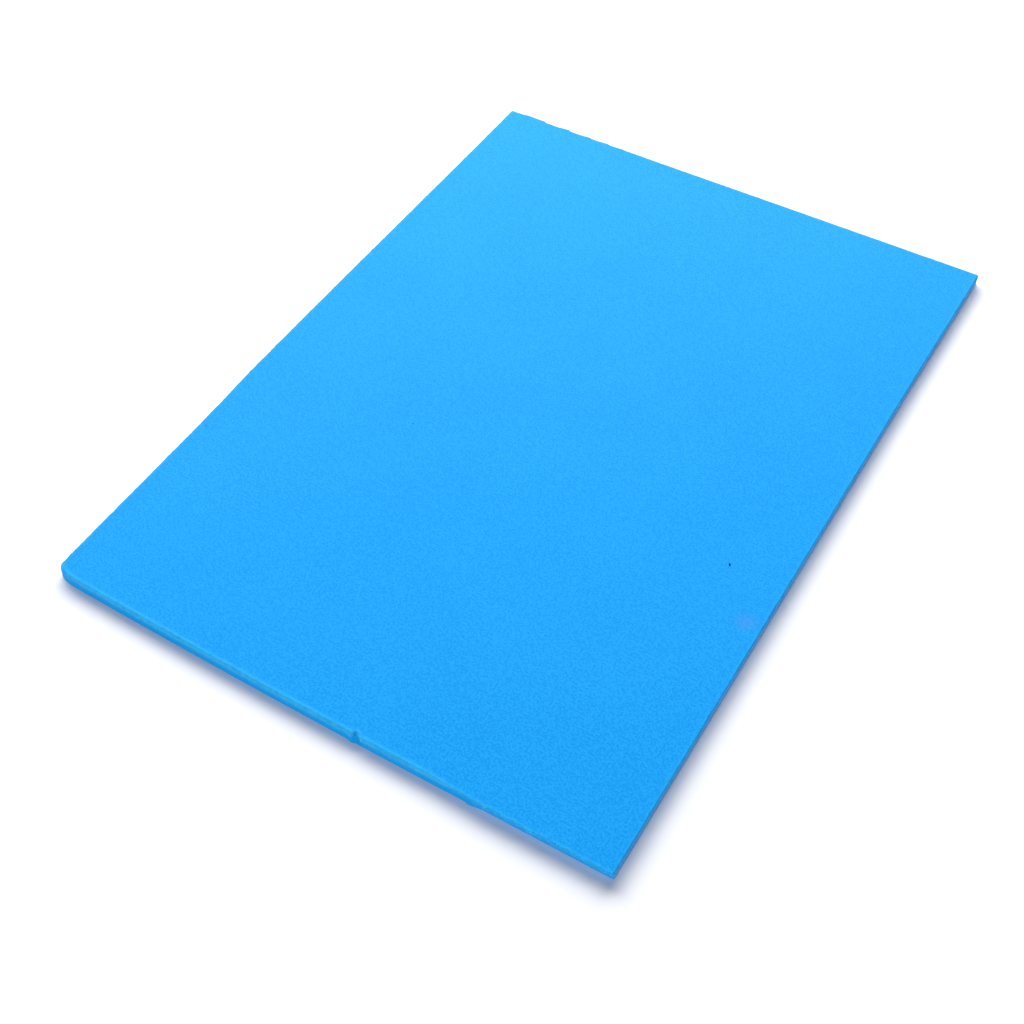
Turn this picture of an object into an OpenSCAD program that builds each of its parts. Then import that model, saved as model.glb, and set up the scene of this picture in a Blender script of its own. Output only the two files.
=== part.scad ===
// Foam sheet: a thin rectangle of closed-cell craft foam, cut by hand with a knife.
//
// The sheet lies flat on its underside. X runs across it, Y along it and Z up, and the
// origin is on the underside, at the middle of the overall outline. All sizes are in mm.
//
// The sheet is one solid. Its cut faces are ruled, as a straight blade leaves them: each
// one runs from the outline of the underside up to the outline of the upper arris, and a
// soft rim rolls from there onto the flat top. Along the near edge the blade twists, from
// leaning out at the left corner to undercutting the sheet at the right one.

/* [Sheet] */
// Overall width, across the short side
sheet_w = 150; // [130:1:300]
// Overall length, along the long side, without the burr
sheet_l = 205; // [150:1:420]
// Thickness of the foam
sheet_t = 3; // [2:0.1:10]

/* [Left edge, cut in two strokes] */
// Distance from the near end to the crest where the two strokes meet
left_meet = 80; // [50:1:130]
// Length over which the near stroke swings out to that crest
left_swing = 28; // [10:1:48]
// How far the near stroke lies inside the crest
left_near_in = 0.5; // [0:0.05:2]
// How far the far stroke has drifted inside the crest by the back corner
left_back_in = 0.8; // [0:0.05:2]

/* [Near edge, cut in two strokes] */
// Distance from the left side to the crest of the first stroke
near_crest = 57; // [30:1:80]
// How far the first stroke falls back from its crest to the left corner
near_bow = 0.5; // [0:0.05:2]
// How far the foot of the first stroke stands out at the left corner
first_lean = 0.2; // [0:0.05:1]
// Distance from the left side to where the second stroke starts
near_meet = 115; // [95:1:125]
// How far the second stroke starts inside the crest of the first
second_in = 0.25; // [0:0.05:1.5]
// How much further inside it has drifted by the right corner
second_drift = 0.55; // [0:0.05:2]
// How far the second stroke undercuts the sheet, because the blade leaned
second_lean = 0.45; // [0:0.05:1.5]
// Length over which the blade tips over to that lean
lean_run = 4; // [2:0.5:20]
// Depth of the waves in the upper arris, where the second stroke starts
wave_depth = 0.3; // [0:0.05:0.5]
// Share of that depth which the waves still have at the right corner
wave_kept = 0.4; // [0:0.05:1]
// Length of one wave
wave_pitch = 3.6; // [2:0.1:8]

/* [Right edge, cut in one stroke] */
// How far the stroke swings out at the back corner
right_out = 0.35; // [0:0.05:2]
// Length of that swing
right_swing = 54; // [10:1:100]

/* [Nick in the near edge] */
// Distance from the left side to the nick
nick_at = 87.2; // [60:0.1:88]
// Depth of the nick in the upper arris
nick_depth = 0.7; // [0:0.05:1.2]
// Width of the nick, and of the burr beside it
nick_w = 1.8; // [1.2:0.1:3]
// How far the burr stands out from the lower half of the cut face
burr_out = 0.3; // [0:0.05:0.8]
// Distance from the nick to the burr
burr_gap = 1.4; // [0.5:0.1:3]

/* [Back edge, sawn at its start] */
// Distance from the left side to the end of the bite, where the blade went in
bite_l = 5.6; // [2:0.2:8]
// How far the bite lies inside the land that follows it
bite_in = 0.25; // [0:0.05:0.6]
// Distance from the left side to the end of the land
land_l = 12.2; // [10:0.2:20]
// How far the land stands out from the rest of the cut
land_out = 0.4; // [0.1:0.05:1.2]
// Number of teeth that the sawing left, each one lower than the one before
tooth_count = 4; // [1:1:6]
// Distance from the land to the tip of the first tooth
tooth_pitch = 8.6; // [4:0.2:12]
// Each tooth follows the one before at this share of the distance before
tooth_closing = 0.85; // [0.6:0.01:0.98]
// Length of the slope up to the tip of a tooth
tooth_slope = 3; // [1.5:0.1:4]
// Length of the drop behind the tip of a tooth
tooth_drop = 0.9; // [0.6:0.1:1.5]

/* [Rims and corners] */
// Radius of the rolled rim that the first near stroke left
near_rim = 0.85; // [0.2:0.05:1]
// Radius of the rim along every crisp cut
crisp_rim = 0.35; // [0.1:0.05:1]
// How far the dulled left corner reaches along the near edge
dull_near = 6; // [0.5:0.1:12]
// How far it reaches along the left edge
dull_left = 2.4; // [0.5:0.1:12]
// Radius of the three crisp corners
crisp_corner_r = 0.6; // [0.2:0.1:4]

/* [Hidden] */

foam_blue = "#29a9fa";

half_w = sheet_w / 2;
half_l = sheet_l / 2;

// Spacing of the points along a clean cut, a ragged one, the sawn one and the nick
clean_step = 4;
ragged_step = 0.6;
sawn_step = 0.45;
nick_step = 0.3;
// How far on each side of the nick its fine points reach
nick_reach = 2 * nick_w + burr_gap;
// Length over which the rim of the near edge turns crisp, ahead of the second stroke
near_rim_fade = 12;
// Steps round each corner, and up the rim
corner_steps = 5;
rim_steps = 3;
// Two of the waves along the second stroke beat against each other at this ratio
wave_beat = 0.37;
// Depth of the skirt that is trimmed off to leave the underside truly flat
skirt = 0.6;

// A share of the way from a to b
function mix(a, b, share) = a + (b - a) * share;
// Eases from a to b while x goes from x0 to x1
function ease(a, b, x, x0, x1) =
    let (q = min(1, max(0, (x - x0) / (x1 - x0)))) mix(a, b, q * q * (3 - 2 * q));
// A smooth bump of height 1 at the middle, w wide
function bump(x, middle, w) = exp(-pow(2.4 * (x - middle) / w, 2));
// Evenly spaced stops from a up to b, without b itself
function stops(a, b, step) =
    let (n = ceil(max(0, b - a) / step)) [for (i = [0:1:n - 1]) mix(a, b, i / n)];
function clamp(x, low, high) = max(low, min(high, x));

// How far each cut lies inside the overall outline. u is the distance from the left side
// and v the distance from the near side.
function left_in(v) =
    v < left_meet
        ? ease(left_near_in, 0, v, left_meet - left_swing, left_meet)
        : ease(0, left_back_in, v, left_meet, sheet_l);
function right_in(v) = ease(right_out, 0, v, sheet_l - right_swing, sheet_l);
// The share of the second stroke that lies behind u
function second_share(u) = (u - near_meet) / (sheet_w - near_meet);
function near_in(u) =
    u < near_meet
        ? near_bow * pow((u - near_crest) / near_crest, 2)
        : second_in + second_drift * second_share(u);
// A tooth climbs along its slope to its tip and drops behind it
function tooth(u, tip) =
    u < tip ? max(0, 1 - (tip - u) / tooth_slope) : max(0, 1 - (u - tip) / tooth_drop);
function tip_at(i) =
    land_l + tooth_pitch * (1 - pow(tooth_closing, i)) / (1 - tooth_closing);
function teeth(u) =
    max([for (i = [1:1:tooth_count]) tooth(u, tip_at(i)) * (1 - (i - 1) / (tooth_count + 1))]);
function back_in(u) =
    ease(bite_in, 0, u, bite_l - tooth_drop, bite_l)
    + land_out * (1 - max(teeth(u), ease(1, 0, u, land_l, land_l + tooth_drop)));

// How the blade leans along the near edge, where a positive lean undercuts the sheet
function lean(u) =
    ease(-first_lean, 0, u, 0, near_meet)
    + ease(0, second_lean, u, near_meet, near_meet + lean_run);
// How far that draws in the foot of the cut face, and its top
function foot_in(u) = max(0, lean(u));
function top_in(u) = max(0, -lean(u));
function near_rim_r(u) = ease(near_rim, crisp_rim, u, near_meet - near_rim_fade, near_meet);
// The waves of the second stroke
function wave(u) =
    let (turn = 360 * (u - near_meet) / wave_pitch)
    wave_depth * mix(1, wave_kept, second_share(u)) * sin(turn) * cos(wave_beat * turn);
// How far the nick and the waves push the upper arris in, and the burr the foot out
function arris_dy(u) =
    nick_depth * bump(u, nick_at, nick_w) + (u < near_meet ? 0 : wave(u));
function foot_dy(u) = -burr_out * bump(u, nick_at - burr_gap, nick_w);

// A station of the outline: [x, y, arris_dy, foot_dy, rim radius]
function near_station(u) =
    [u - half_w, near_in(u) - half_l, arris_dy(u), foot_dy(u), near_rim_r(u)];
function right_station(v) = [half_w - right_in(v), v - half_l, 0, 0, crisp_rim];
function back_station(u) = [u - half_w, half_l - back_in(u), 0, 0, crisp_rim];
function left_station(v) = [left_in(v) - half_w, v - half_l, 0, 0, crisp_rim];

// The stations round a corner, between the last of one edge and the first of the next
function corner(from, at, to) =
    [for (i = [0:corner_steps])
        let (
            q = i / corner_steps,
            p = (1 - q) * (1 - q) * from + 2 * q * (1 - q) * at + q * q * to
        )
        [p.x, p.y, 0, 0, mix(from[4], to[4], q)]];

// Where the edges give way to the corners, as a u or a v
near_start = left_in(0) + dull_near;
near_end = sheet_w - right_out - crisp_corner_r;
back_end = sheet_w - crisp_corner_r;
right_start = near_in(sheet_w) + crisp_corner_r;
right_end = sheet_l - back_in(sheet_w) - crisp_corner_r;
back_start = left_in(sheet_l) + crisp_corner_r;
left_end = sheet_l - back_in(0) - crisp_corner_r;
left_start = near_in(0) + dull_left;

nick_start = clamp(nick_at - nick_reach, near_start, near_meet);
nick_end = clamp(nick_at + nick_reach, near_start, near_meet);
teeth_end = tip_at(tooth_count) + 2 * tooth_drop;

// The u of each station along the near and back edges, and the v along the other two
near_stops = concat(
    stops(near_start, nick_start, clean_step),
    stops(nick_start, nick_end, nick_step),
    stops(nick_end, near_meet, clean_step),
    stops(near_meet, near_end, ragged_step)
);
back_stops = concat(
    stops(back_start, teeth_end, sawn_step),
    stops(teeth_end, back_end, clean_step)
);

function reversed(list) = [for (i = [len(list) - 1:-1:0]) list[i]];
function corner_point(x, y, r) = [x, y, 0, 0, r];

// All the stations, anticlockwise from the left end of the near edge
stations = concat(
    [for (u = near_stops) near_station(u)],
    corner(
        near_station(near_end),
        corner_point(half_w - right_out, near_in(sheet_w) - half_l, crisp_rim),
        right_station(right_start)
    ),
    [for (v = stops(right_start + clean_step, right_end, clean_step)) right_station(v)],
    corner(
        right_station(right_end),
        corner_point(half_w, half_l - back_in(sheet_w), crisp_rim),
        back_station(back_end)
    ),
    reversed([for (u = back_stops) if (u > back_start && u < back_end - ragged_step) back_station(u)]),
    corner(
        back_station(back_start),
        corner_point(left_in(sheet_l) - half_w, half_l - back_in(0), crisp_rim),
        left_station(left_end)
    ),
    reversed([for (v = stops(left_start, left_end, clean_step)) if (v > left_start) left_station(v)]),
    corner(
        left_station(left_start),
        corner_point(left_in(0) - half_w, near_in(0) - half_l, near_rim),
        near_station(near_start)
    )
);

// Draws a point in towards the middle, by this much where it lies on that edge
function drawn_in(x, y, side, near, back) =
    [x * (1 - side / half_w), y * (1 - (y < 0 ? near : back) / half_l)];
// A station's point on the cut face, at height z
function wall_point(s, z) =
    let (
        u = s.x + half_w,
        q = z / (sheet_t - s[4]),
        p = drawn_in(s.x, s.y, 0, mix(foot_in(u), top_in(u), q), 0)
    )
    [p.x, p.y + mix(s[3], s[2], q), z];
// A station's point on the rim, from 0 degrees at the cut face to 90 on the flat top
function rim_point(s, angle) =
    let (
        u = s.x + half_w,
        q = 1 - cos(angle),
        p = drawn_in(s.x, s.y, crisp_rim * q, top_in(u) + near_rim_r(u) * q, crisp_rim * q)
    )
    [p.x, p.y + s[2], sheet_t - s[4] * (1 - sin(angle))];

// Rings of points up the sheet's edge, closed by a point in the middle of each cap
rings = concat(
    [[for (s = stations) wall_point(s, -skirt)]],
    [for (i = [0:rim_steps]) [for (s = stations) rim_point(s, 90 * i / rim_steps)]]
);

module loft(rings) {
    n = len(rings[0]);
    last = len(rings) - 1;
    points = concat([for (ring = rings) each ring], [[0, 0, rings[0][0].z], [0, 0, rings[last][0].z]]);
    foot_middle = len(points) - 2;
    top_middle = len(points) - 1;
    faces = concat(
        [for (i = [0:n - 1]) [foot_middle, i, (i + 1) % n]],
        [for (k = [0:last - 1], i = [0:n - 1])
            let (a = k * n + i, b = k * n + (i + 1) % n)
            each [[a, a + n, b + n], [a, b + n, b]]],
        [for (i = [0:n - 1]) [top_middle, last * n + (i + 1) % n, last * n + i]]
    );
    polyhedron(points = points, faces = faces);
}

module foam_sheet() {
    color(foam_blue)
    difference() {
        loft(rings);
        translate([-sheet_w, -sheet_l, -2 * skirt])
            cube([2 * sheet_w, 2 * sheet_l, 2 * skirt]);
    }
}

foam_sheet();
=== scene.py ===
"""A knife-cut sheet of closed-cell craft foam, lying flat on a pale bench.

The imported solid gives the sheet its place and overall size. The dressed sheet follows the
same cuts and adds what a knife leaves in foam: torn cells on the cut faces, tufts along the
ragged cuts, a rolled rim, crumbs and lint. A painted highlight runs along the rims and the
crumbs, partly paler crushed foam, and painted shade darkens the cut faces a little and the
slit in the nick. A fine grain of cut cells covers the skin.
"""

import logging
import math
from dataclasses import dataclass, fields
from enum import Enum
from typing import Any

import bpy
import numpy as np
from mathutils import Matrix, Vector, noise

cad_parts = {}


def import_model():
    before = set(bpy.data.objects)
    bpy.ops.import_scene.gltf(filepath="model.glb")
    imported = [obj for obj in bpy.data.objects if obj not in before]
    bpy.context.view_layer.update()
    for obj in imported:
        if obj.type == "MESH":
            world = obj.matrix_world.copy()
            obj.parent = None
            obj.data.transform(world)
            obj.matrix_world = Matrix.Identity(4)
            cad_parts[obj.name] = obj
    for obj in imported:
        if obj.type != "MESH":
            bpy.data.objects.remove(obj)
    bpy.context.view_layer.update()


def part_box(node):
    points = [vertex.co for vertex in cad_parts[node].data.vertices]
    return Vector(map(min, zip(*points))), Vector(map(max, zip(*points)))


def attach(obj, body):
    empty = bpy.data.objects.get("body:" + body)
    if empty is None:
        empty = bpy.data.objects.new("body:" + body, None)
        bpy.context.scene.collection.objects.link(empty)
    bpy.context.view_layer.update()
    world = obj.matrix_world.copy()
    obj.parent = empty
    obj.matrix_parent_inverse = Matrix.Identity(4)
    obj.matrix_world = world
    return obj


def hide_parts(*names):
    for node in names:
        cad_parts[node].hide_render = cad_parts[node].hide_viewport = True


MM = 0.001
NODE = "foam_sheet"
BODY = "root"

log = logging.getLogger("foam_sheet")


def linear(hex_colour: str) -> tuple[float, float, float, float]:
    """Turn an sRGB hex colour into linear light.

    Args:
        hex_colour: The colour, such as "#29a9fa".

    Returns:
        Red, green, blue and an alpha of 1, in linear light.
    """
    shares = [int(hex_colour[i : i + 2], 16) / 255 for i in (1, 3, 5)]
    light = [s / 12.92 if s <= 0.04045 else ((s + 0.055) / 1.055) ** 2.4 for s in shares]
    return (light[0], light[1], light[2], 1.0)


def add_node(
    tree: bpy.types.NodeTree,
    kind: str,
    options: dict[str, Any] | None = None,
    inputs: dict[str | int, Any] | None = None,
) -> bpy.types.Node:
    """Add a shader node with its settings and links.

    Args:
        tree: The node tree that the node goes into.
        kind: Blender's name for the kind of node.
        options: The node's own settings, by name.
        inputs: A value, or another node's output socket, for each input by name or number.

    Returns:
        The new node.
    """
    node = tree.nodes.new(kind)
    for name, value in (options or {}).items():
        setattr(node, name, value)
    for name, value in (inputs or {}).items():
        if isinstance(value, bpy.types.NodeSocket):
            tree.links.new(value, node.inputs[name])
        else:
            node.inputs[name].default_value = value
    return node


def empty_material(name: str) -> tuple[bpy.types.Material, bpy.types.NodeTree]:
    """Make a node material without any nodes.

    Args:
        name: The material's name.

    Returns:
        The material and its empty node tree.
    """
    material = bpy.data.materials.new(name)
    material.use_nodes = True
    material.node_tree.nodes.clear()
    return material, material.node_tree


def mix_colours(
    tree: bpy.types.NodeTree, share: bpy.types.NodeSocket, first: Any, second: Any
) -> bpy.types.NodeSocket:
    """Mix two colours.

    Args:
        tree: The material's node tree.
        share: How much of the second colour there is.
        first: The first colour, or the socket that gives it.
        second: The second colour, or the socket that gives it.

    Returns:
        The socket that gives the mixed colour.
    """
    # The Mix node has a set of sockets for each kind of value. These are the colour ones.
    share_in, first_in, second_in, colour_out = 0, 6, 7, 2
    ends = {share_in: share, first_in: first, second_in: second}
    return add_node(tree, "ShaderNodeMix", {"data_type": "RGBA"}, ends).outputs[colour_out]


def add_noise(
    tree: bpy.types.NodeTree, place: bpy.types.NodeSocket, pitch: float
) -> bpy.types.NodeSocket:
    """Add a noise whose lumps are about one pitch apart.

    Args:
        tree: The material's node tree.
        place: Where on the piece the noise is taken.
        pitch: The spacing of the lumps.

    Returns:
        The socket that gives the noise, from 0 to 1.
    """
    spacing = {"Vector": place, "Scale": 1 / pitch}
    return add_node(tree, "ShaderNodeTexNoise", inputs=spacing).outputs["Fac"]


class Mark(Enum):
    """The marks that the points of the foam carry for their material."""

    CUT = "cut_face"
    # A painted highlight along the rolled rim, partly paler crushed foam.
    RIM = "pale_rim"


class Ramp(Enum):
    """How a ramp goes from one end to the other."""

    STRAIGHT = "LINEAR"
    SOFT = "SMOOTHSTEP"


def add_ramp(
    tree: bpy.types.NodeTree,
    value: bpy.types.NodeSocket,
    source: tuple[float, float],
    target: tuple[float, float],
    ramp: Ramp = Ramp.SOFT,
) -> bpy.types.NodeSocket:
    """Map a value from one range to another, and hold it at the ends.

    Args:
        tree: The material's node tree.
        value: The value.
        source: The range that it comes in.
        target: The range that it goes to.
        ramp: How it goes from one end to the other.

    Returns:
        The socket that gives the mapped value.
    """
    ends = {
        "Value": value,
        "From Min": source[0],
        "From Max": source[1],
        "To Min": target[0],
        "To Max": target[1],
    }
    way = {"interpolation_type": ramp.value}
    return add_node(tree, "ShaderNodeMapRange", way, ends).outputs["Result"]


def add_sum(
    tree: bpy.types.NodeTree, parts: list[tuple[bpy.types.NodeSocket, float]]
) -> bpy.types.NodeSocket:
    """Add values up, each times its own weight.

    Args:
        tree: The material's node tree.
        parts: Each value and its weight.

    Returns:
        The socket that gives the sum.
    """
    total: Any = 0.0
    for value, weight in parts:
        terms = {0: value, 1: weight, 2: total}
        total = add_node(tree, "ShaderNodeMath", {"operation": "MULTIPLY_ADD"}, terms).outputs[0]
    return total


def read_mark(tree: bpy.types.NodeTree, mark: Mark) -> bpy.types.NodeSocket:
    """Give the socket of one of the marks on a piece's points."""
    return add_node(tree, "ShaderNodeAttribute", {"attribute_name": mark.value}).outputs["Fac"]


def put_mark(piece: bpy.types.Object, mark: Mark, values: np.ndarray) -> None:
    """Put a mark on each of a piece's points.

    Args:
        piece: The piece.
        mark: Which mark.
        values: Its value at each point.
    """
    layer = piece.data.attributes.new(mark.value, "FLOAT", "POINT")
    layer.data.foreach_set("value", values)


def add_object(
    name: str, points: list[Any], faces: list[tuple[int, ...]], material: bpy.types.Material
) -> bpy.types.Object:
    """Make a smooth mesh object of one material.

    Args:
        name: The object's name.
        points: Its points.
        faces: The numbers of each face's points, anticlockwise from outside.
        material: What it is made of.

    Returns:
        The object.
    """
    mesh = bpy.data.meshes.new(name)
    mesh.from_pydata([tuple(point) for point in points], [], faces)
    mesh.polygons.foreach_set("use_smooth", [True] * len(mesh.polygons))
    mesh.materials.append(material)
    made = bpy.data.objects.new(name, mesh)
    bpy.context.scene.collection.objects.link(made)
    log.info("%s: %d points, %d faces", name, len(mesh.vertices), len(mesh.polygons))
    return made


def closed_tube(rings: int, around: int) -> list[tuple[int, ...]]:
    """Give the faces of a stack of rings of points, closed by a face at either end.

    Args:
        rings: The number of rings.
        around: The number of points in a ring.

    Returns:
        The faces.
    """
    last = (rings - 1) * around
    faces: list[tuple[int, ...]] = []
    for low in range(0, last, around):
        for i in range(around):
            j = (i + 1) % around
            faces.append((low + i, low + j, low + around + j, low + around + i))
    faces.append(tuple(range(around - 1, -1, -1)))
    faces.append(tuple(range(last, last + around)))
    return faces


def ease(start: float, end: float, x: Any, x0: float, x1: float) -> np.ndarray:
    """Ease from one value to another.

    Args:
        start: The value up to x0.
        end: The value from x1 on.
        x: Where to take the value.
        x0: Where the change starts.
        x1: Where it ends.

    Returns:
        The eased value at each x.
    """
    share = np.clip((np.asarray(x, dtype=float) - x0) / (x1 - x0), 0.0, 1.0)
    return start + (end - start) * share * share * (3 - 2 * share)


def bump(x: Any, middle: float, width: float) -> np.ndarray:
    """Give a smooth bump of height 1.

    Args:
        x: Where to take the height.
        middle: Where the bump stands highest.
        width: How wide it is, from foot to foot.

    Returns:
        The height at each x.
    """
    steepness = 2.4
    return np.exp(-((steepness * (np.asarray(x, dtype=float) - middle) / width) ** 2))


class Edge(Enum):
    """The four cut edges of the sheet, anticlockwise."""

    NEAR = "near"
    RIGHT = "right"
    BACK = "back"
    LEFT = "left"


@dataclass(frozen=True)
class KnifeCuts:
    """Where the knife went round the sheet. u runs from the left side, v from the near one."""

    width: float
    length: float
    # The left side: two strokes that meet, each drifting in at its far end.
    left_meet: float = 80 * MM
    left_swing: float = 28 * MM
    left_near_in: float = 0.5 * MM
    left_back_in: float = 0.8 * MM
    # The near side: a bowed stroke and a straight one, which meet with a step.
    near_crest: float = 57 * MM
    near_bow: float = 0.5 * MM
    first_lean: float = 0.2 * MM
    near_meet: float = 115 * MM
    second_in: float = 0.25 * MM
    second_drift: float = 0.55 * MM
    second_lean: float = 0.45 * MM
    lean_run: float = 4 * MM
    # The blade's chatter on the second stroke, which dies down along it.
    wave_depth: float = 0.24 * MM
    wave_kept: float = 0.4
    wave_pitch: float = 3.6 * MM
    wave_beat: float = 0.37
    # The right side: one stroke that swings out at its far end.
    right_out: float = 0.35 * MM
    right_swing: float = 54 * MM
    # A nick in the near side, the slit in it, and the burr pushed out at its foot.
    nick_at: float = 87.2 * MM
    nick_depth: float = 0.7 * MM
    nick_width: float = 1.8 * MM
    slit_at: float = 86.5 * MM
    slit_depth: float = 0.4 * MM
    slit_width: float = 0.7 * MM
    # Where the painted shade inside the slit is darkest: how far in, and how far below the top.
    slit_dark_in: float = 0.97 * MM
    slit_dark_below: float = 0.7 * MM
    burr_out: float = 0.3 * MM
    burr_gap: float = 1.4 * MM
    # The back side: sawn, with a bite, a land, and teeth that close up and die down.
    bite_length: float = 5.6 * MM
    bite_in: float = 0.25 * MM
    land_length: float = 12.2 * MM
    land_out: float = 0.4 * MM
    tooth_count: int = 4
    tooth_pitch: float = 8.6 * MM
    tooth_closing: float = 0.85
    tooth_slope: float = 3 * MM
    tooth_drop: float = 0.9 * MM
    # The rolled rims and the dulled corners.
    near_rim: float = 0.85 * MM
    near_rim_fade: float = 12 * MM
    crisp_rim: float = 0.35 * MM
    dull_near: float = 6 * MM
    dull_left: float = 2.4 * MM
    crisp_corner: float = 0.6 * MM

    def left_in(self, v: Any) -> np.ndarray:
        """Give how far the left cut lies inside the overall outline at v."""
        near = ease(self.left_near_in, 0, v, self.left_meet - self.left_swing, self.left_meet)
        return near + ease(0, self.left_back_in, v, self.left_meet, self.length)

    def right_in(self, v: Any) -> np.ndarray:
        """Give how far the right cut lies inside the overall outline at v."""
        return ease(self.right_out, 0, v, self.length - self.right_swing, self.length)

    def second_share(self, u: Any) -> np.ndarray:
        """Give the share of the second near stroke that lies behind u."""
        return (np.asarray(u, dtype=float) - self.near_meet) / (self.width - self.near_meet)

    def near_in(self, u: Any) -> np.ndarray:
        """Give how far the near cut lies inside the overall outline.

        Args:
            u: Where along the near edge.

        Returns:
            How far in it lies at each u.
        """
        u = np.asarray(u, dtype=float)
        first = self.near_bow * ((u - self.near_crest) / self.near_crest) ** 2
        second = self.second_in + self.second_drift * self.second_share(u)
        return np.where(u < self.near_meet, first, second)

    def back_in(self, u: Any) -> np.ndarray:
        """Give how far the sawn back cut lies inside the overall outline.

        Args:
            u: Where along the back edge.

        Returns:
            How far in it lies at each u.
        """
        u = np.asarray(u, dtype=float)
        raised = ease(1, 0, u, self.land_length, self.land_length + self.tooth_drop)
        tip = self.land_length
        for i in range(self.tooth_count):
            tip += self.tooth_pitch * self.tooth_closing**i
            rise = 1 - (tip - u) / self.tooth_slope
            fall = 1 - (u - tip) / self.tooth_drop
            tooth = np.clip(np.where(u < tip, rise, fall), 0, None)
            raised = np.maximum(raised, tooth * (1 - i / (self.tooth_count + 1)))
        bite = ease(self.bite_in, 0, u, self.bite_length - self.tooth_drop, self.bite_length)
        return bite + self.land_out * (1 - raised)

    def lean(self, u: np.ndarray) -> np.ndarray:
        """Give how far the blade leans at u, where a positive lean undercuts the sheet."""
        first = ease(-self.first_lean, 0, u, 0, self.near_meet)
        return first + ease(0, self.second_lean, u, self.near_meet, self.near_meet + self.lean_run)

    def near_rim_radius(self, u: np.ndarray) -> np.ndarray:
        """Give the radius of the rolled rim along the near edge at u."""
        start = self.near_meet - self.near_rim_fade
        return ease(self.near_rim, self.crisp_rim, u, start, self.near_meet)

    def arris_dy(self, u: Any) -> np.ndarray:
        """Give how far the nick, the slit in it and the waves push the upper arris in.

        Args:
            u: Where along the near edge.

        Returns:
            How far in the arris is pushed at each u.
        """
        turn = 2 * math.pi * (np.asarray(u, dtype=float) - self.near_meet) / self.wave_pitch
        depth = self.wave_depth * (1 + (self.wave_kept - 1) * self.second_share(u))
        wave = depth * np.sin(turn) * np.cos(self.wave_beat * turn)
        nick = self.nick_depth * bump(u, self.nick_at, self.nick_width)
        slit = self.slit_depth * bump(u, self.slit_at, self.slit_width)
        return nick + slit + np.where(turn < 0, 0, wave)

    def foot_dy(self, u: np.ndarray) -> np.ndarray:
        """Give how far the burr pushes the near edge's foot out at u, as a negative."""
        return -self.burr_out * bump(u, self.nick_at - self.burr_gap, self.nick_width)

    def slit_dark(self, top: float) -> tuple[float, float, float]:
        """Give the place inside the slit where its painted shade is darkest.

        Args:
            top: The height of the sheet's top.

        Returns:
            Its x, y and z.
        """
        x, y = self.place(Edge.NEAR, self.slit_at)
        return x, float(y) + self.slit_dark_in, top - self.slit_dark_below

    def corner_after(self, edge: Edge) -> tuple[float, float]:
        """Give where an edge's cut would cross the next one.

        Args:
            edge: The edge before the corner, walking anticlockwise.

        Returns:
            The corner's x and y.
        """
        half_w = self.width / 2
        half_l = self.length / 2
        if edge is Edge.NEAR:
            return half_w - self.right_out, float(self.near_in(self.width)) - half_l
        if edge is Edge.RIGHT:
            return half_w, half_l - float(self.back_in(self.width))
        if edge is Edge.BACK:
            return float(self.left_in(self.length)) - half_w, half_l - float(self.back_in(0))
        return float(self.left_in(0)) - half_w, float(self.near_in(0)) - half_l

    def span(self, edge: Edge) -> tuple[float, float]:
        """Give where the run of an edge starts and ends, between its two corners.

        Args:
            edge: Which edge.

        Returns:
            The first and last u of the near or back edge, or v of the right or left one.
        """
        half_w = self.width / 2
        half_l = self.length / 2
        if edge is Edge.NEAR:
            start = self.corner_after(Edge.LEFT)[0] + half_w + self.dull_near
            return start, self.width - self.right_out - self.crisp_corner
        if edge is Edge.RIGHT:
            start = self.corner_after(Edge.NEAR)[1] + half_l + self.crisp_corner
            return start, self.corner_after(edge)[1] + half_l - self.crisp_corner
        if edge is Edge.BACK:
            end = self.corner_after(edge)[0] + half_w + self.crisp_corner
            return self.width - self.crisp_corner, end
        start = self.corner_after(Edge.BACK)[1] + half_l - self.crisp_corner
        return start, self.corner_after(edge)[1] + half_l + self.dull_left

    def place(self, edge: Edge, at: Any) -> tuple[Any, Any]:
        """Give the x and y of places along an edge.

        Args:
            edge: Which edge.
            at: The u of each place on the near or back edge, or the v on the others.

        Returns:
            The x and y of each place.
        """
        half_w = self.width / 2
        half_l = self.length / 2
        if edge is Edge.NEAR:
            return at - half_w, self.near_in(at) - half_l
        if edge is Edge.RIGHT:
            return half_w - self.right_in(at), at - half_l
        if edge is Edge.BACK:
            return at - half_w, half_l - self.back_in(at)
        return self.left_in(at) - half_w, at - half_l


@dataclass
class Outline:
    """Stations round the sheet: where each one lies, what the blade did there, and its painted rim
    highlight.
    """

    x: np.ndarray
    y: np.ndarray
    arris_dy: np.ndarray
    foot_dy: np.ndarray
    rim_radius: np.ndarray
    tufts: np.ndarray
    # How strong the painted highlight on the rim is at each station.
    bloom: np.ndarray

    def __len__(self) -> int:
        """Give the number of stations."""
        return len(self.x)

    @classmethod
    def chain(cls, parts: list["Outline"]) -> "Outline":
        """Join outlines end to end.

        Args:
            parts: The outlines, in order.

        Returns:
            All of their stations in one outline.
        """
        columns = [[getattr(part, column.name) for part in parts] for column in fields(cls)]
        return cls(*(np.concatenate(column) for column in columns))

    def outward(self) -> tuple[np.ndarray, np.ndarray]:
        """Give the way out of the sheet at each station.

        Returns:
            The x and the y of a direction of length 1, at each station.
        """
        dx = np.roll(self.x, -1) - np.roll(self.x, 1)
        dy = np.roll(self.y, -1) - np.roll(self.y, 1)
        size = np.hypot(dx, dy)
        return dy / size, -dx / size


@dataclass(frozen=True)
class StainOrShade:
    """A soft-edged spot of colour on the foam, for a stain and for painted shade: where its middle
    is, how far it reaches, and its tone.
    """

    at: tuple[float, float, float]
    reach: float
    strength: float
    colour: str


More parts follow.
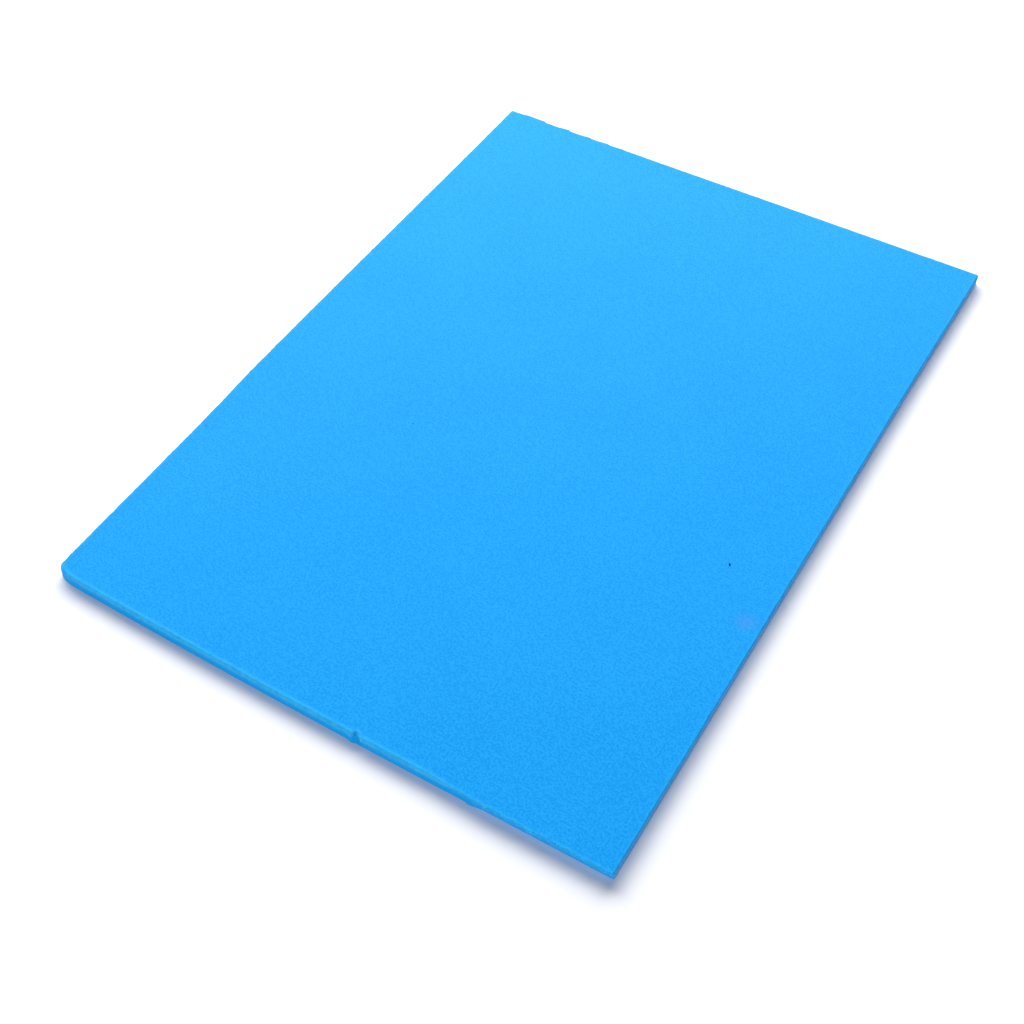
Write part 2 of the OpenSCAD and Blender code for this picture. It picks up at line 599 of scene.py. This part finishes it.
@dataclass(frozen=True)
class SkivedFoam:
    """Cross-linked EVA foam, skived from a bun: dead matte, with an even grain of cut cells.

    The fuzz is the sheen of the cut cells, which whitens the skin where it's seen at a slant.
    """

    skin: str = "#1aa7f3"
    pore: str = "#0097e8"
    # The cut faces are a little darker than the skin: partly their open cells, partly painted shade.
    torn: str = "#0a9ce4"
    # The colour of the painted highlight on the rims and the crumbs, partly paler crushed foam.
    bloom: str = "#3ac2ff"
    ior: float = 1.49
    gloss: float = 0.07
    fuzz: float = 0.2
    fuzz_roughness: float = 0.3
    roughness: float = 0.6
    cell_pitch: float = 0.5 * MM
    clump_pitch: float = 1.3 * MM
    cloud_pitch: float = 24 * MM
    # The grain's make-up, and how narrow a band of it goes from pore to skin.
    cell_share: float = 0.74
    clump_share: float = 0.18
    cloud_share: float = 0.08
    grain_band: tuple[float, float] = (0.412, 0.588)
    # The painted rim highlight is a little thinner where the clumps lie deep.
    patch_band: tuple[float, float] = (0.3, 0.55)
    patch_highlight: float = 0.65
    # How deep the relief goes, in the skin and on the cut faces.
    pit_share: float = 0.6
    pit_depth: float = 0.03 * MM
    torn_depth: float = 0.09 * MM
    relief: float = 0.7
    stains_and_shade: tuple[StainOrShade, ...] = ()

    def material(self) -> bpy.types.Material:
        """Build the foam: the eye gets a flat, saturated blue that a fine grain keeps alive.

        Returns:
            The material.
        """
        material, tree = empty_material("skived_eva_foam")
        place = add_node(tree, "ShaderNodeTexCoord").outputs["Object"]
        cells = add_noise(tree, place, self.cell_pitch)
        clumps = add_noise(tree, place, self.clump_pitch)
        cut = read_mark(tree, Mark.CUT)
        shader = add_node(
            tree,
            "ShaderNodeBsdfPrincipled",
            inputs={
                "Base Color": self._colour(tree, place, cells, clumps, cut),
                "Roughness": self.roughness,
                "IOR": self.ior,
                "Specular IOR Level": self.gloss,
                "Sheen Weight": self.fuzz,
                "Sheen Roughness": self.fuzz_roughness,
                "Normal": self._relief(tree, place, cells, cut),
            },
        )
        add_node(tree, "ShaderNodeOutputMaterial", inputs={"Surface": shader.outputs["BSDF"]})
        return material

    def _colour(
        self,
        tree: bpy.types.NodeTree,
        place: bpy.types.NodeSocket,
        cells: bpy.types.NodeSocket,
        clumps: bpy.types.NodeSocket,
        cut: bpy.types.NodeSocket,
    ) -> bpy.types.NodeSocket:
        """Colour the skin and pores, the cut faces with a little painted shade, the painted rim
        highlight and the stains, with painted shade in the slit.

        Args:
            tree: The material's node tree.
            place: Where on the sheet the colour is taken.
            cells: The noise of single cells.
            clumps: The noise of clumped cells.
            cut: How far a point lies on a cut face, from 0 to 1.

        Returns:
            The socket that gives the colour.
        """
        clouds = add_noise(tree, place, self.cloud_pitch)
        shares = [
            (cells, self.cell_share),
            (clumps, self.clump_share),
            (clouds, self.cloud_share),
        ]
        tone = add_ramp(tree, add_sum(tree, shares), self.grain_band, (0.0, 1.0))
        skin = mix_colours(tree, tone, linear(self.pore), linear(self.skin))
        # The cut faces take their own colour: partly open cells, partly painted shade.
        torn = mix_colours(tree, cut, skin, linear(self.torn))
        # A painted highlight along the rolled rims, partly paler crushed foam, thinner over deep
        # clumps.
        patchy = add_ramp(tree, clumps, self.patch_band, (self.patch_highlight, 1.0))
        factors = {0: read_mark(tree, Mark.RIM), 1: patchy}
        bloom = add_node(tree, "ShaderNodeMath", {"operation": "MULTIPLY"}, factors).outputs[0]
        colour = mix_colours(tree, bloom, torn, linear(self.bloom))
        # Stains, and the painted shade inside the slit.
        for stain_or_shade in self.stains_and_shade:
            ends = {0: place, 1: stain_or_shade.at}
            gap = add_node(tree, "ShaderNodeVectorMath", {"operation": "DISTANCE"}, ends)
            reach = (0.0, stain_or_shade.reach)
            near = add_ramp(tree, gap.outputs["Value"], reach, (stain_or_shade.strength, 0.0))
            colour = mix_colours(tree, near, colour, linear(stain_or_shade.colour))
        return colour

    def _relief(
        self,
        tree: bpy.types.NodeTree,
        place: bpy.types.NodeSocket,
        cells: bpy.types.NodeSocket,
        cut: bpy.types.NodeSocket,
    ) -> bpy.types.NodeSocket:
        """Raise the grain: fine pits in the skin, and deeper torn cells on the cut faces.

        Args:
            tree: The material's node tree.
            place: Where on the sheet the relief is taken.
            cells: The noise of single cells.
            cut: How far a point lies on a cut face, from 0 to 1.

        Returns:
            The socket that gives the normal.
        """
        spacing = {"Vector": place, "Scale": 1 / self.cell_pitch}
        pits = add_node(tree, "ShaderNodeTexVoronoi", inputs=spacing)
        height = add_sum(tree, [(cells, 1.0), (pits.outputs["Distance"], self.pit_share)])
        depth = add_ramp(tree, cut, (0.0, 1.0), (self.pit_depth, self.torn_depth))
        settings = {"Height": height, "Distance": depth, "Strength": self.relief}
        return add_node(tree, "ShaderNodeBump", inputs=settings).outputs["Normal"]


@dataclass(frozen=True)
class Dirt:
    """Dry workshop dirt: dull, and a little uneven in tone, so that a speck reads as solid."""

    name: str
    dark: str
    light: str
    fleck_pitch: float = 0.12 * MM
    roughness: float = 0.9
    specular: float = 0.1

    def material(self) -> bpy.types.Material:
        """Build the dirt.

        Returns:
            The material.
        """
        material, tree = empty_material(self.name)
        place = add_node(tree, "ShaderNodeTexCoord").outputs["Object"]
        flecks = add_noise(tree, place, self.fleck_pitch)
        look = {
            "Base Color": mix_colours(tree, flecks, linear(self.dark), linear(self.light)),
            "Roughness": self.roughness,
            "Specular IOR Level": self.specular,
        }
        shader = add_node(tree, "ShaderNodeBsdfPrincipled", inputs=look)
        add_node(tree, "ShaderNodeOutputMaterial", inputs={"Surface": shader.outputs["BSDF"]})
        return material


@dataclass
class FoamSheet:
    """The sheet: its cut faces ring by ring, a rolled rim, and a flat skin on top and below.

    A cut's raggedness scales the tufts on it, from 0 to 1, and a rim's highlight how strong
    the painted highlight on it is.
    """

    cuts: KnifeCuts
    thickness: float
    foam: bpy.types.Material
    step: float = 0.35 * MM
    fine_step: float = 0.12 * MM
    corner_steps: int = 12
    wall_rings: int = 9
    rim_rings: int = 9
    skin_rings: tuple[float, ...] = (0.15 * MM, 0.35 * MM, 0.7 * MM)
    # Torn cells, the long low marks of the blade's drag, and tufts: push and pitch of each.
    tear: float = 0.05 * MM
    tear_pitch: float = 0.8 * MM
    drag: float = 0.05 * MM
    drag_pitch: float = 4.5 * MM
    drag_flatness: float = 3.0
    tuft: float = 0.16 * MM
    tuft_pitch: float = 2.4 * MM
    tuft_octaves: int = 3
    # How strong the painted highlight is on a crisp rim, then on a rim at its foot and its top,
    # and on the second near stroke.
    crisp_highlight: float = 0.35
    low_highlight: float = 0.3
    top_highlight: float = 0.6
    highlight_from: float = 0.85
    second_highlight: float = 0.7
    # How ragged each cut is, and the share of its height that the foot stays calm in.
    first_ragged: float = 0.45
    left_ragged: float = 1.0
    sawn_ragged: float = 0.3
    calm_foot: float = 0.25
    sharp_angle: float = 50.0

    def build(self) -> bpy.types.Object:
        """Build the sheet.

        Returns:
            The sheet.
        """
        outline = self._outline()
        rings, cut, rim = self._rings(outline)
        faces = closed_tube(len(rings), len(outline))
        sheet = add_object("knife_cut_sheet", list(np.concatenate(rings)), faces, self.foam)
        sheet.data.set_sharp_from_angle(angle=math.radians(self.sharp_angle))
        put_mark(sheet, Mark.CUT, np.repeat(cut, len(outline)))
        # Paint the rim highlight onto the points, ring by ring and station by station.
        put_mark(sheet, Mark.RIM, np.outer(rim, outline.bloom).ravel())
        return sheet

    def _outline(self) -> Outline:
        """Walk round the sheet, anticlockwise from the left end of the near edge.

        Returns:
            All the stations.
        """
        edges = list(Edge)
        runs = [self._run(edge) for edge in edges]
        parts: list[Outline] = []
        for edge, run, following in zip(edges, runs, runs[1:] + runs[:1]):
            parts += [run, self._corner(run, following, self.cuts.corner_after(edge))]
        return Outline.chain(parts)

    def _run(self, edge: Edge) -> Outline:
        """Place the stations of one edge, between its corners.

        Args:
            edge: Which edge.

        Returns:
            Its stations.
        """
        cuts = self.cuts
        start, end = cuts.span(edge)
        at = np.linspace(start, end, math.ceil(abs(end - start) / self.step) + 1)
        if edge is Edge.NEAR:
            reach = cuts.nick_width
            at = np.union1d(at, np.arange(cuts.nick_at - reach, cuts.nick_at + reach, self.fine_step))
        x, y = cuts.place(edge, at)
        none = np.zeros_like(at)
        if edge is Edge.NEAR:
            turn = (cuts.near_meet - cuts.lean_run, cuts.near_meet)
            ragged = ease(self.first_ragged, 1, at, *turn)
            # The painted rim highlight is weaker along the second stroke.
            bloom = ease(1, self.second_highlight, at, *turn)
            rim_radius = cuts.near_rim_radius(at)
            arris_dy, foot_dy = cuts.arris_dy(at), cuts.foot_dy(at)
            return Outline(x, y, arris_dy, foot_dy, rim_radius, ragged, bloom)
        ragged = none + (self.left_ragged if edge is Edge.LEFT else self.sawn_ragged)
        bloom = none + self.crisp_highlight
        return Outline(x, y, none, none, none + cuts.crisp_rim, ragged, bloom)

    def _corner(self, run: Outline, following: Outline, at: tuple[float, float]) -> Outline:
        """Round the corner between two edges.

        Args:
            run: The stations of the edge before it.
            following: The stations of the edge after it.
            at: Where the two cuts would cross.

        Returns:
            The stations in between.
        """
        q = np.linspace(0, 1, self.corner_steps + 1)[1:-1]
        away, bend, onward = (1 - q) ** 2, 2 * q * (1 - q), q**2
        none = np.zeros_like(q)
        return Outline(
            away * run.x[-1] + bend * at[0] + onward * following.x[0],
            away * run.y[-1] + bend * at[1] + onward * following.y[0],
            none,
            none,
            (1 - q) * run.rim_radius[-1] + q * following.rim_radius[0],
            (1 - q) * run.tufts[-1] + q * following.tufts[0],
            (1 - q) * run.bloom[-1] + q * following.bloom[0],
        )

    def _drawn_in(
        self, outline: Outline, side: Any, near: Any, back: Any
    ) -> tuple[np.ndarray, np.ndarray]:
        """Draw the stations in towards the middle, by this much where they lie on that edge.

        Args:
            outline: The stations.
            side: How far the left and right edges come in.
            near: How far the near edge comes in.
            back: How far the back edge comes in.

        Returns:
            The new x and y.
        """
        half_w = self.cuts.width / 2
        half_l = self.cuts.length / 2
        x = outline.x * (1 - side / half_w)
        return x, outline.y * (1 - np.where(outline.y < 0, near, back) / half_l)

    def _torn(self, x: np.ndarray, y: np.ndarray, z: np.ndarray, tufts: np.ndarray) -> np.ndarray:
        """Give how far torn cells, the drag of the blade and the tufts push a cut face out.

        Args:
            x: The points' x.
            y: The points' y.
            z: The points' z.
            tufts: How ragged the cut is at each point, from 0 to 1.

        Returns:
            The push at each point.
        """
        push = np.empty(len(x))
        for i, spot in enumerate(Vector(point) for point in zip(x, y, z)):
            # The blade drags along the cut, so its marks are long and low.
            low = Vector((spot.x, spot.y, self.drag_flatness * spot.z))
            torn = self.tear * noise.noise(spot / self.tear_pitch)
            dragged = self.drag * noise.noise(low / self.drag_pitch)
            tufted = self.tuft * noise.turbulence(spot / self.tuft_pitch, self.tuft_octaves, True)
            push[i] = torn + dragged + (tufted - self.tuft / 2) * tufts[i]
        return push

    def _rings(self, outline: Outline) -> tuple[list[np.ndarray], list[float], list[float]]:
        """Give the rings of points from the foot of the cut faces to the flat skin on top.

        Args:
            outline: The stations.

        Returns:
            The points of each ring, then how far each ring lies on the cut face, and how
            strong the painted highlight on its rim is.
        """
        cuts = self.cuts
        out_x, out_y = outline.outward()
        u = outline.x + cuts.width / 2
        lean = cuts.lean(u)
        foot_in = np.clip(lean, 0, None)
        top_in = np.clip(-lean, 0, None)
        near_rim = cuts.near_rim_radius(u)
        halfway = math.pi / 4
        rings, cut, rim = [], [], []
        for share in np.arange(self.wall_rings) / self.wall_rings:
            z = (self.thickness - outline.rim_radius) * share
            x, y = self._drawn_in(outline, 0.0, foot_in * (1 - share) + top_in * share, 0.0)
            y += outline.foot_dy * (1 - share) + outline.arris_dy * share
            push = self._torn(x, y, z, outline.tufts * share) * min(1.0, share / self.calm_foot)
            rings.append(np.column_stack([x + push * out_x, y + push * out_y, z]))
            cut.append(1.0)
            # The painted highlight starts faintly near the top of the cut face.
            rim.append(float(ease(0, self.low_highlight, share, self.highlight_from, 1)))
        for angle in np.linspace(0, math.pi / 2, self.rim_rings + 1):
            q = 1 - math.cos(angle)
            side = cuts.crisp_rim * q
            x, y = self._drawn_in(outline, side, top_in + near_rim * q, side)
            y += outline.arris_dy
            z = self.thickness - outline.rim_radius * (1 - math.sin(angle))
            push = self._torn(x, y, z, outline.tufts) * math.cos(angle / 2)
            rings.append(np.column_stack([x + push * out_x, y + push * out_y, z]))
            cut.append(math.cos(angle) ** 2)
            # The painted highlight peaks halfway round the rolled rim and fades onto the skin.
            rising = ease(self.low_highlight, 1, angle, 0, halfway)
            rim.append(float(rising * ease(1, self.top_highlight, angle, halfway, 2 * halfway)))
        edge = rings[-1]
        for inset in self.skin_rings:
            share = inset / self.skin_rings[-1]
            x = edge[:, 0] * (1 - inset / (cuts.width / 2))
            y = edge[:, 1] * (1 - inset / (cuts.length / 2))
            rings.append(np.column_stack([x, y, np.full(len(x), self.thickness)]))
            cut.append(0.0)
            rim.append(self.top_highlight * (1 - share) ** 2)
        return rings, cut, rim


@dataclass(frozen=True)
class Speck:
    """An uneven speck, flat on the sheet or clinging to its edge."""

    name: str
    at: tuple[float, float]
    size: tuple[float, float, float]
    heading: float = 0.0
    rings: int = 7
    sides: int = 12
    unevenness: float = 0.35
    lumps: float = 1.5

    def build(self, height: float, material: bpy.types.Material) -> bpy.types.Object:
        """Build the speck.

        Args:
            height: How high its middle lies.
            material: What it is made of.

        Returns:
            The speck.
        """
        middle = Vector((*self.at, height))
        half = Vector(self.size) / 2
        turn = Matrix.Rotation(math.radians(self.heading), 3, "Z")
        points: list[Vector] = []
        for k in range(1, self.rings + 1):
            lift = math.pi * k / (self.rings + 1)
            for i in range(self.sides):
                angle = 2 * math.pi * i / self.sides
                flat = math.sin(lift)
                way = Vector((flat * math.cos(angle), flat * math.sin(angle), -math.cos(lift)))
                rough = 1 - self.unevenness * abs(noise.noise(self.lumps * way + middle / MM))
                points.append(turn @ (way * half * rough) + middle)
        return add_object(self.name, points, closed_tube(self.rings, self.sides), material)


@dataclass(frozen=True)
class Lint:
    """A short fibre of lint, caught by one end in a cut face."""

    root: tuple[float, float, float] = (-74.85 * MM, -26.6 * MM, 2.6 * MM)
    reach: tuple[float, float, float] = (-1.05 * MM, -0.55 * MM, -0.1 * MM)
    curl: float = 0.18 * MM
    radius: float = 0.05 * MM
    taper: float = 0.6
    rings: int = 9
    sides: int = 6

    def build(self, material: bpy.types.Material) -> bpy.types.Object:
        """Build the fibre.

        Args:
            material: What it is made of.

        Returns:
            The fibre.
        """
        reach = Vector(self.reach)
        across = reach.cross(Vector((0, 0, 1))).normalized()
        upward = across.cross(reach).normalized()
        points: list[Vector] = []
        for q in np.linspace(0, 1, self.rings):
            middle = Vector(self.root) + reach * q + across * (self.curl * math.sin(math.pi * q))
            for i in range(self.sides):
                angle = 2 * math.pi * i / self.sides
                way = across * math.sin(angle) + upward * math.cos(angle)
                points.append(middle + way * (self.radius * (1 - self.taper * q)))
        return add_object("lint_fibre", points, closed_tube(self.rings, self.sides), material)


@dataclass(frozen=True)
class Crumb:
    """A crumb on the near edge: its place along it, its depth below the top, and its width."""

    u: float
    below: float
    width: float


@dataclass
class Leavings:
    """What the knife and the bench left on the sheet: crumbs of foam, specks and lint."""

    cuts: KnifeCuts
    top: float
    foam: bpy.types.Material
    crumbs: tuple[Crumb, ...] = (
        # Three round the nick, then five along the second stroke.
        Crumb(85.6 * MM, 0.7 * MM, 1.0 * MM),
        Crumb(86.4 * MM, 1.0 * MM, 0.6 * MM),
        Crumb(88.7 * MM, 0.5 * MM, 0.9 * MM),
        Crumb(119.7 * MM, 0.25 * MM, 0.6 * MM),
        Crumb(122.2 * MM, 0.3 * MM, 0.55 * MM),
        Crumb(123.7 * MM, 0.25 * MM, 0.45 * MM),
        Crumb(130.7 * MM, 0.3 * MM, 0.55 * MM),
        Crumb(134.8 * MM, 0.25 * MM, 0.4 * MM),
    )
    crumb_height: float = 0.5 * MM
    crumb_slimness: float = 0.7
    crumb_sunk: float = 0.1 * MM
    crumb_highlight: float = 0.9
    soot: Dirt = Dirt("soot", dark="#031c4c", light="#08306a")
    soot_speck: Speck = Speck(
        "soot_speck", at=(60.4 * MM, -20.7 * MM), size=(1.0 * MM, 0.5 * MM, 0.1 * MM), heading=-60
    )
    dust: Dirt = Dirt("blue_dust", dark="#0084d8", light="#0090e8")
    dust_specks: tuple[Speck, ...] = (
        Speck(
            "dust_speck_left",
            at=(-72.7 * MM, -48.0 * MM),
            size=(0.6 * MM, 0.5 * MM, 0.1 * MM),
            heading=20,
        ),
        Speck(
            "dust_speck_middle",
            at=(-27.7 * MM, -21.1 * MM),
            size=(0.55 * MM, 0.5 * MM, 0.1 * MM),
            heading=-50,
        ),
    )
    fluff: Dirt = Dirt("grey_lint", dark="#56608c", light="#7480a8")
    lint: Lint = Lint()

    def build(self) -> None:
        """Build the crumbs, the specks and the lint."""
        for number, crumb in enumerate(self.crumbs, 1):
            self._crumb(number, crumb)
        dust = self.dust.material()
        pieces = [self.soot_speck.build(self.top, self.soot.material())]
        pieces += [speck.build(self.top, dust) for speck in self.dust_specks]
        pieces.append(self.lint.build(self.fluff.material()))
        for piece in pieces:
            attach(piece, BODY)

    def _crumb(self, number: int, crumb: Crumb) -> None:
        """Build one crumb of torn foam on the near edge's arris.

        Args:
            number: Which crumb it is.
            crumb: Its place and its width.
        """
        x, y = self.cuts.place(Edge.NEAR, crumb.u)
        y = float(y + self.cuts.arris_dy(crumb.u)) + self.crumb_sunk
        size = (crumb.width, self.crumb_slimness * crumb.width, self.crumb_height)
        speck = Speck(f"foam_crumb_{number}", at=(x, y), size=size)
        piece = speck.build(self.top - crumb.below, self.foam)
        # The crumb is painted nearly fully pale: a painted highlight where it catches the light.
        put_mark(piece, Mark.RIM, np.full(len(piece.data.vertices), self.crumb_highlight))
        dress_foam(piece)


def dress_foam(piece: bpy.types.Object) -> None:
    """Tie a piece of the foam to the sheet's body.

    Args:
        piece: The piece.
    """
    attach(piece, BODY)


@dataclass(frozen=True)
class Laminate:
    """Matt white laminate: it keeps soft shadows, and fades to plain white away from them.

    What it throws up at the cut faces is more than what the camera sees it shine.
    """

    colour: str = "#ffffff"
    roughness: float = 0.9
    specular: float = 0.1
    glow: float = 0.03
    upthrow: float = 0.12
    fade: tuple[float, float] = (0.15, 0.5)

    def material(self) -> bpy.types.Material:
        """Build the laminate.

        Returns:
            The material.
        """
        material, tree = empty_material("white_laminate")
        place = add_node(tree, "ShaderNodeTexCoord").outputs["Object"]
        away = add_node(tree, "ShaderNodeVectorMath", {"operation": "LENGTH"}, {0: place})
        levels = (self.glow - self.upthrow, 1.0 - self.upthrow)
        more = add_ramp(tree, away.outputs["Value"], self.fade, levels, Ramp.STRAIGHT)
        seen = add_node(tree, "ShaderNodeLightPath").outputs["Is Camera Ray"]
        terms = {0: seen, 1: more, 2: self.upthrow}
        shine = add_node(tree, "ShaderNodeMath", {"operation": "MULTIPLY_ADD"}, terms).outputs[0]
        look = {
            "Base Color": linear(self.colour),
            "Roughness": self.roughness,
            "Specular IOR Level": self.specular,
            "Emission Color": linear("#ffffff"),
            "Emission Strength": shine,
        }
        surface = add_node(tree, "ShaderNodeBsdfPrincipled", inputs=look).outputs["BSDF"]
        # The bench is clear from below, so that the underside of what lies on it can be seen.
        below = add_node(tree, "ShaderNodeNewGeometry").outputs["Backfacing"]
        clear = add_node(tree, "ShaderNodeBsdfTransparent").outputs["BSDF"]
        sides = {0: below, 1: surface, 2: clear}
        both = add_node(tree, "ShaderNodeMixShader", inputs=sides).outputs["Shader"]
        add_node(tree, "ShaderNodeOutputMaterial", inputs={"Surface": both})
        return material


@dataclass(frozen=True)
class Softbox:
    """A soft lamp that points at the middle of the sheet."""

    name: str
    at: tuple[float, float, float]
    width: float
    height: float
    power: float

    def build(self) -> None:
        """Hang the lamp."""
        lamp = bpy.data.lights.new(self.name, "AREA")
        lamp.shape = "RECTANGLE"
        lamp.size = self.width
        lamp.size_y = self.height
        lamp.energy = self.power
        hung = bpy.data.objects.new(self.name, lamp)
        hung.location = self.at
        hung.rotation_euler = (-Vector(self.at)).to_track_quat("-Z", "Y").to_euler()
        bpy.context.scene.collection.objects.link(hung)


@dataclass
class Studio:
    """The bench, two soft lamps, white surroundings and the camera."""

    bench: Laminate
    bench_size: float = 4.0
    bench_gap: float = 0.03 * MM
    lamps: tuple[Softbox, ...] = (
        Softbox("key_softbox", at=(-0.57, 0.76, 0.66), width=1.8, height=0.7, power=33.5),
        Softbox("front_softbox", at=(0.33, -1.15, 0.3), width=0.7, height=0.5, power=7.0),
    )
    fill_colour: str = "#b0c2ff"
    fill_strength: float = 0.13
    camera_at: tuple[float, float, float] = (0.128605, -0.215773, 0.274568)
    camera_heading: float = 33.235
    camera_dip: float = 51.162
    camera_roll: float = -2.16
    lens: float = 51.259
    sensor: float = 36.0
    clip_start: float = 0.01

    def build(self) -> None:
        """Set up the bench, the lamps, the surroundings and the camera."""
        half = self.bench_size / 2
        low = -self.bench_gap
        corners = [(-half, -half, low), (half, -half, low), (half, half, low), (-half, half, low)]
        add_object("bench_top", corners, [(0, 1, 2, 3)], self.bench.material())
        for lamp in self.lamps:
            lamp.build()
        self._surroundings()
        self._camera()
        bpy.context.scene.view_settings.view_transform = "Standard"

    def _surroundings(self) -> None:
        """Surround the bench with a faint cool fill that the camera sees as plain white."""
        world = bpy.data.worlds.new("white_room")
        world.use_nodes = True
        tree = world.node_tree
        tree.nodes.clear()
        seen = add_node(tree, "ShaderNodeLightPath").outputs["Is Camera Ray"]
        dim = {"Color": linear(self.fill_colour), "Strength": self.fill_strength}
        fill = add_node(tree, "ShaderNodeBackground", inputs=dim).outputs["Background"]
        bright = {"Color": linear("#ffffff"), "Strength": 1.0}
        white = add_node(tree, "ShaderNodeBackground", inputs=bright).outputs["Background"]
        both = add_node(tree, "ShaderNodeMixShader", inputs={0: seen, 1: fill, 2: white})
        add_node(tree, "ShaderNodeOutputWorld", inputs={"Surface": both.outputs["Shader"]})
        bpy.context.scene.world = world

    def _camera(self) -> None:
        """Stand the camera in front of the sheet and to its right, looking down at it."""
        lens = bpy.data.cameras.new("camera")
        lens.lens = self.lens
        lens.sensor_width = self.sensor
        lens.clip_start = self.clip_start
        camera = bpy.data.objects.new("camera", lens)
        heading = Matrix.Rotation(math.radians(self.camera_heading), 4, "Z")
        dip = Matrix.Rotation(math.radians(90 - self.camera_dip), 4, "X")
        roll = Matrix.Rotation(math.radians(self.camera_roll), 4, "Z")
        camera.matrix_world = Matrix.Translation(self.camera_at) @ heading @ dip @ roll
        bpy.context.scene.collection.objects.link(camera)
        bpy.context.scene.camera = camera


def main() -> None:
    """Build the sheet, what lies on it and the studio, in order."""
    logging.basicConfig(level=logging.INFO, format="%(name)s: %(message)s")
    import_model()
    high = Vector(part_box(NODE)[1])
    cuts = KnifeCuts(width=2 * high.x, length=2 * high.y)
    # A faint violet smudge on the skin, and painted shade inside the nick's slit.
    on_skin = (70.7 * MM, -33.3 * MM, high.z)
    smudge = StainOrShade(at=on_skin, reach=3.8 * MM, strength=0.26, colour="#6490e4")
    slit = StainOrShade(at=cuts.slit_dark(high.z), reach=1 * MM, strength=0.7, colour="#0664b4")
    foam = SkivedFoam(stains_and_shade=(smudge, slit)).material()
    sheet = FoamSheet(cuts, high.z, foam).build()
    dress_foam(sheet)
    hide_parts(NODE)
    Leavings(cuts, high.z, foam).build()
    Studio(bench=Laminate()).build()


if __name__ == "__main__":
    main()
